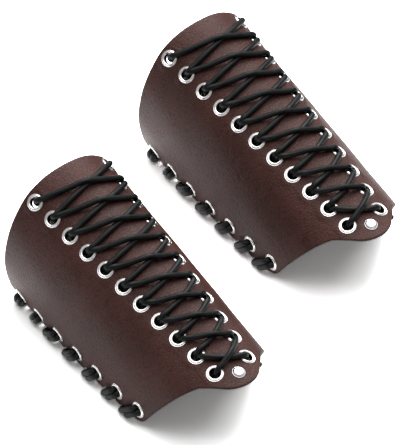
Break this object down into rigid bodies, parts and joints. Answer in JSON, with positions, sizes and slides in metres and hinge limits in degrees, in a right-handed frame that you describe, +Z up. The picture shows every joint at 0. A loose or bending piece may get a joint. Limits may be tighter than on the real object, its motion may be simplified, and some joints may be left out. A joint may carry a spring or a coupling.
{
  "type": "pair of lace-up arm cuffs",
  "caption": "Pair of leather forearm cuffs, each a tapered arch with a rounded tab over the wrist, metal eyelets, criss-cross lacing over the crown and a lace that closes it below.",
  "frame": {"origin": "centre of the pair's footprint, on the table that both cuffs stand on", "axes": "+Z up; +Y from the wrist ends towards the elbow ends; +X from the left cuff to the right cuff, as seen from the wrist ends with the elbow ends away"},
  "size_m": [0.234, 0.2417, 0.099],
  "materials": {
    "cuff_leather": "pebble-grained, semi-matt, dark reddish brown",
    "lace_black": "round black lace, satin",
    "eyelet_nickel": "bright nickel plate",
    "washer_nickel": "nickel plate, a little dull",
    "rivet_nickel": "polished nickel plate"
  },
  "bodies": {
    "right_cuff": {"right_cuff_leather": "cuff_leather", "right_cuff_lacing_eyelets_left": "eyelet_nickel", "right_cuff_lacing_eyelets_right": "eyelet_nickel", "right_cuff_lacing_washers_left": "washer_nickel", "right_cuff_lacing_washers_right": "washer_nickel", "right_cuff_edge_eyelets_left": "eyelet_nickel", "right_cuff_edge_eyelets_right": "eyelet_nickel", "right_cuff_edge_washers_left": "washer_nickel", "right_cuff_edge_washers_right": "washer_nickel", "right_cuff_rivet_cap": "rivet_nickel", "right_cuff_rivet_post": "washer_nickel", "right_cuff_top_lace": "lace_black", "right_cuff_closing_lace": "lace_black"},
    "left_cuff": {"left_cuff_leather": "cuff_leather", "left_cuff_lacing_eyelets_left": "eyelet_nickel", "left_cuff_lacing_eyelets_right": "eyelet_nickel", "left_cuff_lacing_washers_left": "washer_nickel", "left_cuff_lacing_washers_right": "washer_nickel", "left_cuff_edge_eyelets_left": "eyelet_nickel", "left_cuff_edge_eyelets_right": "eyelet_nickel", "left_cuff_edge_washers_left": "washer_nickel", "left_cuff_edge_washers_right": "washer_nickel", "left_cuff_rivet_cap": "rivet_nickel", "left_cuff_rivet_post": "washer_nickel", "left_cuff_top_lace": "lace_black", "left_cuff_closing_lace": "lace_black"}
  },
  "joints": [
    {"name": "left_cuff_lift", "type": "slide", "parent": "right_cuff", "child": "left_cuff", "axis": [0, 0, 1], "range_m": [0, 0.15]}
  ]
}
